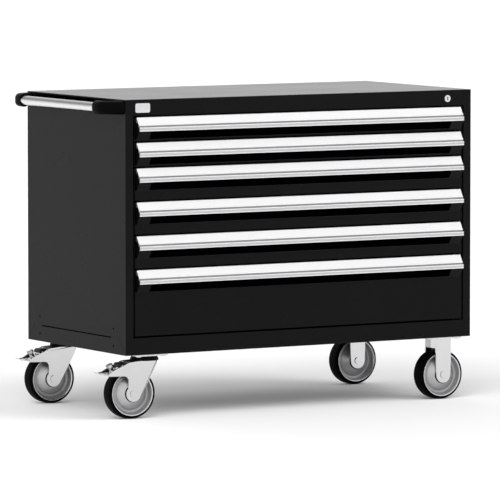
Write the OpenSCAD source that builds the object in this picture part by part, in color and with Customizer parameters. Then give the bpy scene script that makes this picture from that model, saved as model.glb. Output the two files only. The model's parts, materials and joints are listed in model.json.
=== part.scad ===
// Mobile drawer cabinet: a welded sheet-metal body with a flat top, six full-width drawers on
// roller slides, one lock that bars every drawer, a push handle at the left end, two braked
// swivel casters under that end and two rigid casters under the other.
// Frame: +X to the right as seen from the drawers, +Y to the back, +Z up, floor at z = 0,
// origin at the bottom centre of the whole object's bounding box.

/* [Cabinet body] */
// Width of the body
body_w = 1219.2; // [900:1:1500]
// Depth of the body
body_d = 609.6; // [500:1:760]
// Height of the body above the casters
body_h = 762; // [620:1:1000]
// Thickness of the body's sheet steel
sheet = 1.9; // [1.2:0.1:2.5]
// Thickness of the top plate
top_t = 2.7; // [1.5:0.1:5]
// Width of the upright stile at each end of the front
stile_w = 26.5; // [24:0.5:45]
// Height of the rail above the drawers
top_rail_h = 48; // [44:1:80]
// Height of the rail under the drawers
bottom_rail_h = 51.5; // [46:0.5:90]
// Depth of the return lip behind the stiles and rails
return_lip = 8; // [5:0.5:12]
// Width of the flange that carries the back panel
rear_flange = 18; // [12:1:24]
// Height of the seam above the bottom of each side
seam_up = 49; // [30:1:70]
// Distance from the seam's ends to the front and back
seam_inset = 90; // [60:1:150]
// Opening of the seam
seam_h = 1.2; // [0.6:0.1:2]

/* [Drawers] */
// Share of the opening's height for each of the two top drawers
shallow_share = 3; // [3:0.25:5]
// Share of the opening's height for each of the three middle drawers
middle_share = 4; // [3:0.25:6]
// Share of the opening's height for the bottom drawer
deep_share = 8; // [5:0.25:10]
// Gap above, below and between the drawer fronts
drawer_gap = 5.2; // [3:0.1:7]
// Gap at each side of a drawer front
side_gap = 5.5; // [3:0.1:8]
// Thickness of the drawer boxes' sheet steel
box_sheet = 1.2; // [0.8:0.1:2]
// Depth of the hollow drawer front
front_depth = 18; // [16:0.5:24]
// Height of the box floor above the bottom of the front
box_lift = 6; // [4:0.5:10]
// Height of the front that rises above the box walls
box_drop = 8; // [6:0.5:14]
// Clear space behind the drawer boxes
rear_clear = 22; // [14:1:60]

/* [Pull rail] */
// Distance from the end of a front to the end of its pull
pull_inset = 5.6; // [3:0.2:20]
// Reach of the pull's lip in front of the body
pull_reach = 20.8; // [18:0.1:26]
// Height of the slanted label face
label_face_h = 22.7; // [18:0.1:26]
// Reach of the foot of the label face
label_reach = 15.5; // [13:0.1:17]
// Height of the whole pull
pull_h = 42; // [40:0.5:46]
// Thickness of the pull's wall
pull_wall = 2; // [1.5:0.1:2.5]
// Depth below the pull's top at which the front becomes flat
slant_foot = 68; // [60:0.5:69]
// Closed length at each end of the finger opening
pull_closed_end = 42; // [20:1:80]

/* [Roller slides] */
// Radius of the slide rollers
roller_r = 11; // [8:0.5:11.5]
// Running gap between a roller and its channel
roller_gap = 0.3; // [0.2:0.05:0.5]
// Wall thickness of the slide channels
channel_t = 1.5; // [1:0.1:2]
// Height of the slide axis above the bottom of a front
slide_up = 22; // [20:0.5:24]
// Depth of the slide posts, side to side
post_t = 12.1; // [8:0.1:12.5]
// Width of the slide posts, front to back
post_w = 40; // [20:1:60]
// Thickness of the intermediate slide member
carriage_t = 2.5; // [1.5:0.1:3]
// Length of the intermediate slide member
carriage_l = 480; // [400:5:490]
// Distance between the two rollers at each end of the intermediate member
roller_pitch = 160; // [100:5:180]

/* [Badge] */
// Width of the blank badge
badge_w = 50; // [30:1:70]
// Height of the blank badge
badge_h = 28; // [16:1:32]
// Thickness of the blank badge
badge_t = 1; // [0.5:0.1:2]
// Distance from the badge's centre to the left side
badge_inset = 58.6; // [45:0.1:120]
// Depth of the badge's centre below the top
badge_drop = 25.3; // [18:0.1:27]

/* [Lock] */
// Distance from the lock's axis to the right side
lock_inset = 86.5; // [70:0.5:120]
// Depth of the lock's axis below the top
lock_drop = 26.3; // [24:0.1:27]
// Radius of the lock's bezel
bezel_r = 10.6; // [10:0.1:16]
// Thickness of the lock's bezel
bezel_t = 2.5; // [1.5:0.1:4]
// Radius of the lock's threaded body
lock_r = 9.5; // [8.5:0.1:9.8]
// Radius of the turning plug
plug_r = 7; // [5.5:0.1:7.5]
// Width of the key slot
key_w = 2.2; // [1.5:0.1:3]
// Length of the key slot
key_h = 8.4; // [6:0.1:9]
// Running clearance round the plug
plug_gap = 0.06; // [0.02:0.01:0.1]
// Distance from the plug's axis to the cam's pin
cam_throw = 8.5; // [7.5:0.1:9.5]
// Radius of the cam's pin
cam_pin_r = 3; // [2:0.1:3.5]
// Clearance round the cam's pin in its slot
cam_pin_gap = 0.6; // [0.5:0.05:1]
// Width of the lock bar
bar_w = 12; // [10:0.5:14]
// Thickness of the lock bar
bar_t = 3; // [2:0.1:3.5]
// Height of the lock bar's hooks
hook_h = 5; // [3:0.5:6]

/* [Push handle] */
// Radius of the handle tube
tube_r = 14; // [10:0.5:16]
// Wall thickness of the handle tube
tube_wall = 1.6; // [1:0.1:3]
// Distance from the side of the body to the tube's axis
tube_off = 53.5; // [45:0.5:70]
// Depth of the tube's axis below the top
tube_drop = 23.5; // [22:0.5:60]
// Distance from the body's front and back to the bare tube
tube_inset = 79; // [75:0.5:90]
// Width of the handle bracket round the tube
bracket_w = 32; // [32:0.5:38]
// Height of the handle bracket
bracket_h = 40; // [36:0.5:42]
// Rounding of the handle bracket's section
bracket_round = 15; // [6:0.5:15.5]
// Half of the spacing of the two bolts in each bracket
handle_bolt_half = 11; // [9:0.5:12]
// Depth of the socket that holds the tube's end
socket_l = 14; // [8:1:14]
// Thickness of the strip that joins the brackets
strip_t = 4; // [2:0.5:8]
// Height of the strip that joins the brackets
strip_h = 42; // [34:0.5:44]

/* [Casters] */
// Height of the casters, floor to body
caster_h = 193.7; // [188:0.1:220]
// Radius of the wheels
wheel_r = 76.2; // [62:0.1:78]
// Width of the tyres
tyre_w = 50; // [36:0.5:52]
// Thickness of the tyres
tyre_t = 9; // [5:0.5:12]
// Rounding of the tyres' shoulders
tyre_round = 7; // [3:0.5:8]
// Length of the hub along the axle
hub_l = 53; // [52:0.5:54]
// Radius of the axle bolts
axle_r = 6; // [5:0.5:8]
// Running clearance of the hub on its axle
axle_gap = 0.06; // [0.02:0.01:0.1]
// Distance between the inner faces of the fork legs
fork_gap = 55; // [55:0.5:60]
// Thickness of the fork legs
leg_t = 5; // [4:0.5:6]
// Distance from the caster's centre to the body's front and back
caster_inset_y = 55; // [54:0.5:120]
// Distance from the swivel axis to the left side
swivel_inset = 94; // [88:0.5:200]
// Distance from the rigid casters' axle to the right side
rigid_inset = 83; // [80:0.5:200]
// Distance that the swivel wheels trail behind the swivel axis
trail = 50; // [35:0.5:52]
// Turn of the front swivel caster, in degrees
turn_front = -4.5; // [-90:0.5:90]
// Turn of the rear swivel caster, in degrees
turn_rear = -2.5; // [-90:0.5:90]
// Radius of the swivel forks' eyes round the axle
swivel_eye_r = 24; // [18:0.5:26]
// Radius of the rigid forks' eyes round the axle
rigid_eye_r = 25.5; // [18:0.5:27]
// Width of the rigid forks' legs
rigid_leg_w = 55; // [52:1:70]
// Radius of the axle bolts' round heads
axle_head_r = 11; // [9:0.5:14]
// Thickness of the axle bolts' round heads
axle_head_t = 3.5; // [2:0.5:5]
// Radius of the brake's release stud
stud_r = 10.5; // [8:0.5:12]
// Length of the caster top plates, side to side
plate_x = 110; // [104:1:120]
// Width of the caster top plates, front to back
plate_y = 104; // [102:1:108]
// Thickness of the caster top plates
plate_t = 4.8; // [3:0.1:6]
// Radius of the black swivel race
race_r = 39.8; // [36:0.1:41]
// Height of the black swivel race
race_h = 10; // [8:0.5:14]
// Gap between the race and the turning fork
race_gap = 0.3; // [0.2:0.05:0.5]
// Half of the bolt spacing in the caster plates
bolt_half = 42; // [41:0.5:43]
// Radius of the mounting bolts
bolt_r = 4; // [3:0.5:5]

/* [Hidden] */
$fn = 64;
eps = 0.01;

// Main levels and planes, measured from the centre of the body's footprint
top_z = caster_h + body_h;
front_y = -body_d / 2;
back_y = body_d / 2;
left_x = -body_w / 2;
right_x = body_w / 2;
handle_reach = tube_off + bracket_w / 2;
body_x = handle_reach / 2;
body_y = pull_reach / 2;

// Drawer layout, counted from the top
shares = [shallow_share, shallow_share, middle_share, middle_share, middle_share, deep_share];
drawers = len(shares);
function sum_to(i) = i <= 0 ? 0 : shares[i - 1] + sum_to(i - 1);
open_top = top_z - top_rail_h;
open_bottom = caster_h + bottom_rail_h;
share_h = (open_top - open_bottom - drawer_gap) / sum_to(drawers);
function front_h(i) = shares[i] * share_h - drawer_gap;
function front_top(i) = open_top - drawer_gap - share_h * sum_to(i);
function front_bottom(i) = front_top(i) - front_h(i);
front_w = body_w - 2 * (stile_w + side_gap);
pull_w = front_w - 2 * pull_inset;
finger_w = pull_w - 2 * pull_closed_end;

// Roller slides, measured inwards from each side of the body
channel_h = 2 * (roller_r + roller_gap + channel_t);
runner_in = sheet + post_t;
slide_side_gap = 1.2;
runner_out = stile_w - slide_side_gap;
carriage_in = stile_w + 1;
carriage_out = carriage_in + carriage_t;
roller_l = carriage_in - runner_in - channel_t - slide_side_gap;
member_in = carriage_out + slide_side_gap;
member_out = carriage_out + roller_l + slide_side_gap / 2 + channel_t;
box_half = body_w / 2 - member_out;
post_front = 33;
runner_front = 36;
carriage_front = 42;
carriage_h = 18;
roller_end = 20;
box_front = front_y + front_depth;
box_back = back_y - sheet - rear_clear;

// Lock
lock_x = right_x - lock_inset;
lock_z = top_z - lock_drop;
cam_y = 26;
cam_t = 3;
bar_y = cam_y + cam_t + 0.5;
bar_out = 10;
lift = cam_throw * sin(45) * 2;
hook_gap = 2;
hook_above_slide = channel_h / 2 + hook_gap;
catch_above_slide = hook_above_slide + hook_h + hook_gap;
catch_h = lift - hook_gap;
catch_t = 3;
catch_gap = 1.5;

// Push handle
tube_z = top_z - tube_drop;
bend_r = tube_inset - socket_l - bracket_w / 2 - 2;
handle_end_y = back_y - tube_inset;
handle_foot_y = handle_end_y + socket_l + bend_r;
handle_bolt_l = 12;

// Casters
axle_z = wheel_r;
fork_top = caster_h - plate_t - race_h - race_gap;
hub_r = wheel_r - tyre_t;
crown_t = 4.5;
crown_r = race_r + 2;
leg_y = fork_gap / 2;
swivel_x = left_x + swivel_inset;
rigid_x = right_x - rigid_inset;
caster_y = back_y - caster_inset_y;
kingpin_r = 8;
pivot_x = -26;
pivot_z = 80.2;
pivot_r = 4;
pivot_hub_r = 7;
bolt_head_r = bolt_r * 1.87;
bolt_head_h = bolt_r * 1.4;
low_head_h = bolt_r * 0.55;
axle_nut_r = 10.5;
axle_nut_h = 6;
hole_gap = 0.3;
fit_gap = 0.06;
channel_wall = 3;
channel_up = 40;

// ---------------------------------------------------------------- helpers

// Shifts a piece from the body's centre to the object's own origin
module in_frame() translate([body_x, body_y, 0]) children();

// Draws a piece at the left side and its mirror image at the right side
module both_sides() {
  children();
  mirror([1, 0, 0]) children();
}

// Block between two corners
module block(a, b) translate(a) cube(b - a);

// Cylinder along Y between y0 and y1
module rod_y(r, y0, y1) translate([0, y1, 0]) rotate([90, 0, 0]) cylinder(r = r, h = y1 - y0);

// Cylinder along X between x0 and x1
module rod_x(r, x0, x1) translate([x0, 0, 0]) rotate([0, 90, 0]) cylinder(r = r, h = x1 - x0);

// Rectangle with round corners, centred
module round_rect(w, h, r) {
  square([w - 2 * r, h], center = true);
  square([w, h - 2 * r], center = true);
  for (x = [-1, 1], y = [-1, 1]) translate([x * (w / 2 - r), y * (h / 2 - r)]) circle(r = r);
}

// Plate in the XZ plane, with its outline in x and z, from y0 to y1
module plate_xz(y0, y1) {
  translate([0, y1, 0]) rotate([90, 0, 0]) linear_extrude(height = y1 - y0) children();
}

// Bar along X whose section is drawn as reach in front of the body and height
module front_bar(w) {
  translate([-w / 2, front_y, 0])
    rotate([90, 0, 90]) linear_extrude(height = w) mirror([1, 0]) children();
}

// ---------------------------------------------------------------- body

// Left side panel: outer sheet, front stile with its return lip and rear flange
module side_sheet() {
  top = top_z - top_t;
  difference() {
    union() {
      block([left_x, front_y, caster_h], [left_x + sheet, back_y, top]);
      block([left_x, front_y, caster_h], [left_x + stile_w, front_y + sheet, top]);
      block([left_x + stile_w - sheet, front_y, caster_h + sheet],
        [left_x + stile_w, front_y + return_lip, top]);
      block([left_x, back_y - 2 * sheet, caster_h + sheet],
        [left_x + rear_flange, back_y - sheet, top]);
    }
    block([left_x - eps, front_y + seam_inset, caster_h + seam_up],
      [left_x + sheet + eps, back_y - seam_inset, caster_h + seam_up + seam_h]);
  }
}

module side_panel_left() color("dimgray") in_frame() difference() {
  side_sheet();
  handle_bolt_places() rod_x(bolt_r + hole_gap, -1, sheet + 1);
}

module side_panel_right() color("dimgray") in_frame() mirror([1, 0, 0]) side_sheet();

module back_panel() color("dimgray") in_frame()
  block([left_x + sheet, back_y - sheet, caster_h], [right_x - sheet, back_y, top_z - top_t]);

module top_panel() color("darkgray") in_frame()
  block([left_x, front_y, top_z - top_t], [right_x, back_y, top_z]);

module base_pan() color("dimgray") in_frame() difference() {
  block([left_x + sheet, front_y + sheet, caster_h],
    [right_x - sheet, back_y - sheet, caster_h + sheet]);
  caster_bolt_places() cylinder(r = bolt_r + hole_gap, h = 3 * sheet, center = true);
}

// Front rails close the body between the stiles, each with a return lip at the drawers
module top_rail() color("dimgray") in_frame() difference() {
  union() {
    block([left_x + stile_w, front_y, open_top],
      [right_x - stile_w, front_y + sheet, top_z - top_t]);
    block([left_x + stile_w, front_y, open_top],
      [right_x - stile_w, front_y + return_lip, open_top + sheet]);
  }
  at_lock() rod_y(lock_r + hole_gap / 3, -1, sheet + 1);
}

module bottom_rail() color("dimgray") in_frame() {
  block([left_x + stile_w, front_y, caster_h], [right_x - stile_w, front_y + sheet, open_bottom]);
  block([left_x + stile_w, front_y, open_bottom - sheet],
    [right_x - stile_w, front_y + return_lip, open_bottom]);
}

// Upright channels inside each side that carry the drawer runners
module slide_posts() color("silver") in_frame() both_sides()
  for (y = [front_y + post_front, back_y - post_front - post_w]) difference() {
    block([left_x + sheet, y, caster_h + sheet], [left_x + runner_in, y + post_w, top_z - top_t]);
    block([left_x, y + channel_t, caster_h],
      [left_x + runner_in - channel_t, y + post_w - channel_t, top_z]);
  }

// Slide channel from u0 to u1 inwards of the left side and from y0 to y1, about height z,
// with its web at the inner edge or at the outer one
module slide_channel(u0, u1, y0, y1, z, web_inner) {
  web = web_inner ? [u1 - channel_t, u1] : [u0, u0 + channel_t];
  half = channel_h / 2;
  translate([left_x, 0, z]) {
    block([web[0], y0, -half], [web[1], y1, half]);
    block([u0, y0, half - channel_t], [u1, y1, half]);
    block([u0, y0, -half], [u1, y1, channel_t - half]);
  }
}

module drawer_runners() color("silver") in_frame() both_sides()
  for (i = [0:drawers - 1])
    slide_channel(runner_in, runner_out, front_y + runner_front, back_y - runner_front,
      front_bottom(i) + slide_up, false);

// Upturned channels on the base pan that stiffen it over the casters
module base_channel(x) difference() {
  block([x - plate_x / 2, front_y + 3 * sheet, caster_h + sheet],
    [x + plate_x / 2, back_y - 3 * sheet, caster_h + sheet + channel_up]);
  block([x - plate_x / 2 + channel_wall, front_y, caster_h + sheet + channel_wall],
    [x + plate_x / 2 - channel_wall, back_y, top_z]);
  caster_bolt_places() cylinder(r = bolt_r + hole_gap, h = 4 * channel_wall, center = true);
}

module base_channels() color("dimgray") in_frame() {
  base_channel(swivel_x);
  base_channel(rigid_x);
}

module blank_badge() color("gainsboro") in_frame()
  translate([left_x + badge_inset, 0, top_z - badge_drop]) plate_xz(front_y - badge_t, front_y)
    round_rect(badge_w, badge_h, badge_h / 5);

// ---------------------------------------------------------------- lock

// Puts a piece that is drawn about the lock's axis in its place
module at_lock() translate([lock_x, front_y, lock_z]) children();

// Threaded body with its bezel outside the rail and its nut behind it
module lock_housing() color("silver") in_frame() at_lock() difference() {
  union() {
    rod_y(bezel_r, -bezel_t, 0);
    rod_y(lock_r, -1, cam_y - 2);
    rod_y(lock_r + 4, sheet, sheet + 4);
  }
  rod_y(plug_r + plug_gap, -bezel_t - 1, cam_y);
}

// Turning plug with its key slot
module lock_plug() color("gray") in_frame() at_lock() difference() {
  rod_y(plug_r, -bezel_t - 0.7, cam_y);
  block([-key_w / 2, -bezel_t - 1, -key_h / 2], [key_w / 2, 8, key_h / 2]);
}

// Cam on the plug's tail; its pin rides in the lock bar's slot
module lock_cam() color("silver") in_frame() at_lock() rotate([0, 45, 0]) {
  rod_y(plug_r, cam_y, cam_y + cam_t);
  translate([cam_throw, 0, 0]) rod_y(cam_pin_r + 1.5, cam_y, cam_y + cam_t);
  block([0, cam_y, -cam_pin_r - 1], [cam_throw, cam_y + cam_t, cam_pin_r + 1]);
  translate([cam_throw, 0, 0]) rod_y(cam_pin_r, cam_y, bar_y + bar_t + 1.5);
}

// Upright bar behind the right stile with one hook for each drawer and an arm to the cam
module lock_bar() color("silver") in_frame() translate([0, front_y + bar_y, 0]) {
  bar_x1 = right_x - bar_out;
  bar_x0 = bar_x1 - bar_w;
  arm_z = lock_z - lift / 2;
  slot_half = cam_pin_r + cam_pin_gap;
  arm_half = slot_half + 4;
  slot_x0 = lock_x + lift / 2 - slot_half;
  slot_x1 = lock_x + cam_throw + slot_half;
  difference() {
    union() {
      block([bar_x0, 0, front_bottom(drawers - 1) + slide_up], [bar_x1, bar_t, arm_z + arm_half]);
      block([slot_x0 - 4, 0, arm_z - arm_half], [bar_x1, bar_t, arm_z + arm_half]);
      for (i = [0:drawers - 1]) translate([0, 0, front_bottom(i) + slide_up + hook_above_slide])
        block([right_x - member_out + hook_gap, 0, 0], [bar_x1, bar_t, hook_h]);
    }
    block([slot_x0, -1, arm_z - slot_half], [slot_x1, bar_t + 1, arm_z + slot_half]);
  }
}

// ---------------------------------------------------------------- push handle

// Places of the bolts in the two handle brackets
module handle_bolt_places() for (y = [-handle_foot_y, handle_foot_y])
  for (dz = [-handle_bolt_half, handle_bolt_half]) translate([left_x, y, tube_z + dz]) children();

module handle_section() round_rect(bracket_w, bracket_h, bracket_round);

// Back half of the handle moulding: socket, bend, foot and half of the joining strip
module handle_half() translate([left_x, 0, tube_z]) {
  translate([-tube_off, 0, 0]) plate_xz(handle_end_y, handle_end_y + socket_l)
    handle_section();
  translate([bend_r - tube_off, handle_end_y + socket_l, 0]) rotate([0, 0, 90])
    rotate_extrude(angle = 90) translate([bend_r, 0]) handle_section();
  translate([bend_r - tube_off, handle_foot_y, 0]) rotate([90, 0, 90])
    linear_extrude(height = tube_off - bend_r) handle_section();
  block([-strip_t, 0, -strip_h / 2], [0, handle_foot_y, strip_h / 2]);
}

module handle_mount() color("black") in_frame() difference() {
  union() {
    handle_half();
    mirror([0, 1, 0]) handle_half();
  }
  at_tube() rod_y(tube_r + fit_gap, -handle_end_y - socket_l, handle_end_y + socket_l);
  handle_bolt_places() rod_x(bolt_r, -handle_bolt_l, 1);
}

module at_tube() translate([left_x - tube_off, 0, tube_z]) children();

module handle_tube() color("silver") in_frame() at_tube() difference() {
  rod_y(tube_r, -handle_end_y - socket_l, handle_end_y + socket_l);
  rod_y(tube_r - tube_wall, front_y, back_y);
}

// ---------------------------------------------------------------- drawers

// Open box of folded sheet
module drawer_box(i) color("darkslategray") in_frame() {
  z0 = front_bottom(i) + box_lift;
  z1 = front_top(i) - box_drop;
  difference() {
    block([-box_half, box_front, z0], [box_half, box_back, z1]);
    block([box_sheet - box_half, box_front + box_sheet, z0 + box_sheet],
      [box_half - box_sheet, box_back - box_sheet, z1 + 1]);
  }
}

// Slide member on each side of a drawer's box, open outwards for the carriage's rollers
module drawer_members(i) color("silver") in_frame()
  both_sides() slide_channel(member_in, member_out, box_front + 26, box_back,
    front_bottom(i) + slide_up, true);

// Catch on the right side of a drawer's box, which the lock bar's hook holds back
module lock_catch(i) color("silver") in_frame()
  translate([0, front_y + bar_y + bar_t + catch_gap, front_bottom(i) + slide_up + catch_above_slide])
    block([box_half, 0, 0], [right_x - member_in, catch_t, catch_h]);

// Hollow front: flat lower panel, slanted sheet with the finger opening, and closed sides
module drawer_front(i) color("black") in_frame() translate([0, 0, front_top(i)]) {
  h = front_h(i);
  slant_top = label_reach + 1.5;
  front_bar(front_w) {
    translate([-sheet, -h]) square([sheet, h - slant_foot + 3]);
    translate([-front_depth, -h]) square([sheet, h]);
    translate([-front_depth, -h]) square([front_depth, sheet]);
    translate([-front_depth, -sheet]) square([front_depth - pull_wall, sheet]);
    translate([-sheet - pull_wall, -16]) square([sheet, 16]);
  }
  difference() {
    front_bar(pull_w) polygon([[slant_top, -pull_h], [0, -slant_foot], [0, 3 - slant_foot],
      [slant_top - 2.3, -pull_h]]);
    block([-finger_w / 2, front_y - pull_reach, 3 - slant_foot],
      [finger_w / 2, front_y + front_depth, 0]);
  }
  both_sides() translate([(sheet - pull_w) / 2, 0, 0]) front_bar(sheet)
    polygon([[slant_top - 2.3, -pull_h], [0, 3 - slant_foot], [-front_depth + sheet, 3 - slant_foot],
      [-front_depth + sheet, -16], [-pull_wall, -16], [-pull_wall, -16.5], [0, -16.5],
      [label_reach - pull_wall * 2, -label_face_h - 6], [label_reach - 1, -label_face_h - 8]]);
  both_sides() translate([(sheet - front_w) / 2, 0, 0]) front_bar(sheet)
    translate([-front_depth, -h]) square([front_depth - pull_wall - sheet, h]);
}

// Extruded pull: slanted label face, a groove and a rounded lip to hook the fingers behind
module drawer_pull(i) color("white") in_frame() translate([0, 0, front_top(i)])
  front_bar(pull_w) polygon([[-pull_wall, 0], [1.5, 0], [label_reach, -label_face_h],
    [label_reach, -label_face_h - 1.3], [label_reach - 1.5, -label_face_h - 2.3],
    [label_reach - 1.5, -label_face_h - 4.3], [pull_reach - 2.3, -label_face_h - 5.3],
    [pull_reach, -label_face_h - 7.3], [pull_reach, 3.5 - pull_h], [pull_reach - 1.8, 1 - pull_h],
    [label_reach + 0.5, -pull_h], [label_reach - 0.5, 1.5 - pull_h],
    [label_reach - 0.5, -label_face_h - 7.8], [label_reach - 3.7, -label_face_h - 5.8],
    [label_reach - 3.7, 1.8 - label_face_h], [0, -1.8], [0, -16], [-pull_wall, -16]]);

// Intermediate slide members: rollers at the back run in the body's channels, rollers at the
// front run in the drawer's own
module slide_carriage(i) color("silver") in_frame() both_sides()
  translate([left_x, front_y + carriage_front, front_bottom(i) + slide_up]) {
    block([carriage_in, 0, -carriage_h / 2], [carriage_out, carriage_l, carriage_h / 2]);
    for (y = [roller_end, roller_end + roller_pitch]) {
      translate([0, carriage_l - y, 0]) rod_x(roller_r, carriage_in - roller_l, carriage_in);
      translate([0, y, 0]) rod_x(roller_r, carriage_out, carriage_out + roller_l);
    }
  }

// ---------------------------------------------------------------- casters

// Places of the caster plates' bolts
module caster_bolt_places() for (x = [swivel_x, rigid_x], y = [-caster_y, caster_y],
    dx = [-bolt_half, bolt_half], dy = [-bolt_half, bolt_half])
  translate([x + dx, y + dy, caster_h]) children();

// Flat top plate with its four bolt holes
module caster_plate() difference() {
  translate([0, 0, caster_h - plate_t]) linear_extrude(height = plate_t)
    round_rect(plate_x, plate_y, 6);
  for (dx = [-bolt_half, bolt_half], dy = [-bolt_half, bolt_half])
    translate([dx, dy, caster_h]) cylinder(r = bolt_r + hole_gap, h = 4 * plate_t, center = true);
}

// Puts a piece of a swivel caster, drawn about its swivel axis, in its place and turn
module at_swivel(side) translate([swivel_x, side * caster_y, 0])
  rotate([0, 0, side < 0 ? turn_front : turn_rear]) children();

module at_rigid(side) translate([rigid_x, side * caster_y, 0]) children();

module swivel_plates() color("gainsboro") in_frame() for (s = [-1, 1])
  translate([swivel_x, s * caster_y, 0]) caster_plate();

// Race under each plate, with the kingpin and its nut through the fork's crown
module swivel_races() color("black") in_frame() for (s = [-1, 1])
  translate([swivel_x, s * caster_y, 0]) {
    z0 = caster_h - plate_t - race_h;
    translate([0, 0, z0]) cylinder(r = race_r, h = race_h);
    translate([0, 0, z0 - crown_t - 6]) cylinder(r = kingpin_r, h = crown_t + 7);
    translate([0, 0, z0 - crown_t - 7]) cylinder(r = kingpin_r * 1.7, h = 6);
  }

// Outline of a swivel fork leg about the axle, with its arm for the brake
module swivel_leg_outline() {
  up = fork_top - axle_z;
  front = trail + 27.7;
  polygon([[front - 1, up - 1], [front, up - 11], [front - 6.3, up - 25], [trail + 3, 43],
    [21, -13], [-17, -1], [-17, 44], [-22, 51], [-29, 53.5], [-81, 54.5], [-83, 58],
    [-80, 62], [-62, 73], [-40, 82.5], [-14, up - 8], [trail - 20, up - 4], [trail - 14, up]]);
  circle(r = swivel_eye_r);
}

// Section of a swivel fork's crown where it slopes down between the legs to the brake's pivot
module crown_slope_outline() {
  up = fork_top - axle_z;
  polygon([[-14, up - 8], [trail - 20, up - 4], [trail - 14, up], [trail, up], [trail, up - crown_t],
    [trail - 16, up - crown_t], [trail - 22, up - crown_t - 4], [-14, up - crown_t - 8]]);
}

// Both legs of a fork, drawn as one outline in x and z
module fork_legs() for (s = [0, 1]) mirror([0, s, 0]) plate_xz(leg_y, leg_y + leg_t) children();

// Hole through both legs of a fork
module leg_holes(r) rod_y(r, -leg_y - 2 * leg_t, leg_y + 2 * leg_t);

// Fork of a swivel caster: two legs under a crown that turns on the kingpin
module swivel_fork(side) color("gainsboro") in_frame() at_swivel(side) difference() {
  union() {
    translate([-trail, 0, axle_z]) {
      fork_legs() swivel_leg_outline();
      plate_xz(-leg_y - 1, leg_y + 1) crown_slope_outline();
    }
    translate([0, 0, fork_top - crown_t]) cylinder(r = crown_r, h = crown_t);
  }
  translate([0, 0, fork_top]) cylinder(r = kingpin_r + fit_gap, h = 4 * crown_t, center = true);
  translate([-trail, 0, axle_z]) leg_holes(axle_r + fit_gap);
  translate([pivot_x - trail, 0, axle_z + pivot_z]) leg_holes(pivot_r + fit_gap);
}

// Axle bolt with a round head in front and a hexagon nut behind
module axle_bolt() translate([0, 0, axle_z]) {
  reach = leg_y + leg_t;
  rod_y(axle_r, -reach - 1, reach + axle_nut_h + 1);
  rod_y(axle_head_r, -reach - axle_head_t, -reach);
  translate([0, reach + axle_nut_h, 0]) rotate([90, 0, 0])
    cylinder(r = axle_nut_r, h = axle_nut_h, $fn = 6);
}

module swivel_axle(side) color("silver") in_frame() at_swivel(side)
  translate([-trail, 0, 0]) axle_bolt();

// Section of the brake lever about its pivot, from the hub and its shoe to the pedal's lip
module lever_outline() {
  circle(r = pivot_hub_r);
  polygon([[0, 7], [-8, 7], [-24, -7], [-38, -14], [-54, -18.5], [-67, -18], [-75, -16.5],
    [-75, -18.5], [-68, -21], [-54, -22], [-36, -20.5], [-24, -15], [-14, -11.5], [0, -7]]);
}

// Foot pedal of the brake: a lever between the fork's arms, a wider lip beyond their ends,
// pivot stubs in the arms and a round release stud that leans outwards on top
module brake_pedal(side) color("silver") in_frame() at_swivel(side)
  translate([pivot_x - trail, 0, axle_z + pivot_z]) {
    half = leg_y - 0.6;
    wide = leg_y + leg_t;
    rod_y(pivot_r, -wide, wide);
    plate_xz(-half, half) lever_outline();
    plate_xz(-wide, wide) intersection() {
      lever_outline();
      translate([-80, -30]) square([19, 20]);
    }
    translate([-31, 0, -13]) rotate([0, -25, 0]) {
      cylinder(r = stud_r * 0.7, h = 17);
      translate([0, 0, 16]) cylinder(r = stud_r, h = 6);
    }
  }

// Rigid fork: a plate with two straight legs rounded about the axle
module rigid_forks() color("gainsboro") in_frame() for (side = [-1, 1]) at_rigid(side)
  difference() {
    leg_x = rigid_leg_w / 2;
    up = caster_h - axle_z - 1;
    union() {
      caster_plate();
      translate([0, 0, axle_z]) fork_legs() {
        circle(r = rigid_eye_r);
        polygon([[-rigid_eye_r, 0], [rigid_eye_r, 0], [leg_x, 40], [leg_x, up], [-leg_x, up],
          [-leg_x, 40]]);
      }
    }
    translate([0, 0, axle_z]) leg_holes(axle_r + fit_gap);
  }

module rigid_axles() color("silver") in_frame() for (side = [-1, 1]) at_rigid(side) axle_bolt();

// Rubber tyre with rounded shoulders
module tyre() translate([0, 0, axle_z]) rotate([90, 0, 0]) rotate_extrude($fn = 128)
  difference() {
    translate([hub_r + tyre_t / 2 - tyre_round, 0])
      round_rect(tyre_t + 2 * tyre_round, tyre_w, tyre_round);
    translate([hub_r - 4 * tyre_round, -tyre_w]) square([4 * tyre_round, 2 * tyre_w]);
  }

// Cast hub: bright rim, dished web and a conical boss on each face
module hub() translate([0, 0, axle_z]) rotate([90, 0, 0]) rotate_extrude($fn = 128) {
  half = [[hub_r, tyre_w / 2 - 1], [hub_r - 1, tyre_w / 2], [hub_r - 3.5, tyre_w / 2 - 0.5],
    [hub_r - 6, tyre_w / 2 - 6], [hub_r - 12, 10.5], [36, 7.5], [30, 9.5], [26, 21],
    [22, hub_l / 2], [axle_r + axle_gap, hub_l / 2]];
  last = len(half) - 1;
  polygon(concat(half, [for (k = [last:-1:0]) [half[k][0], -half[k][1]]]));
}

module tyre_left(side) color("black") in_frame() at_swivel(side) translate([-trail, 0, 0]) tyre();
module tyre_right(side) color("black") in_frame() at_rigid(side) tyre();
module hub_left(side) color("lightgray") in_frame() at_swivel(side)
  translate([-trail, 0, 0]) hub();
module hub_right(side) color("lightgray") in_frame() at_rigid(side) hub();

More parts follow.
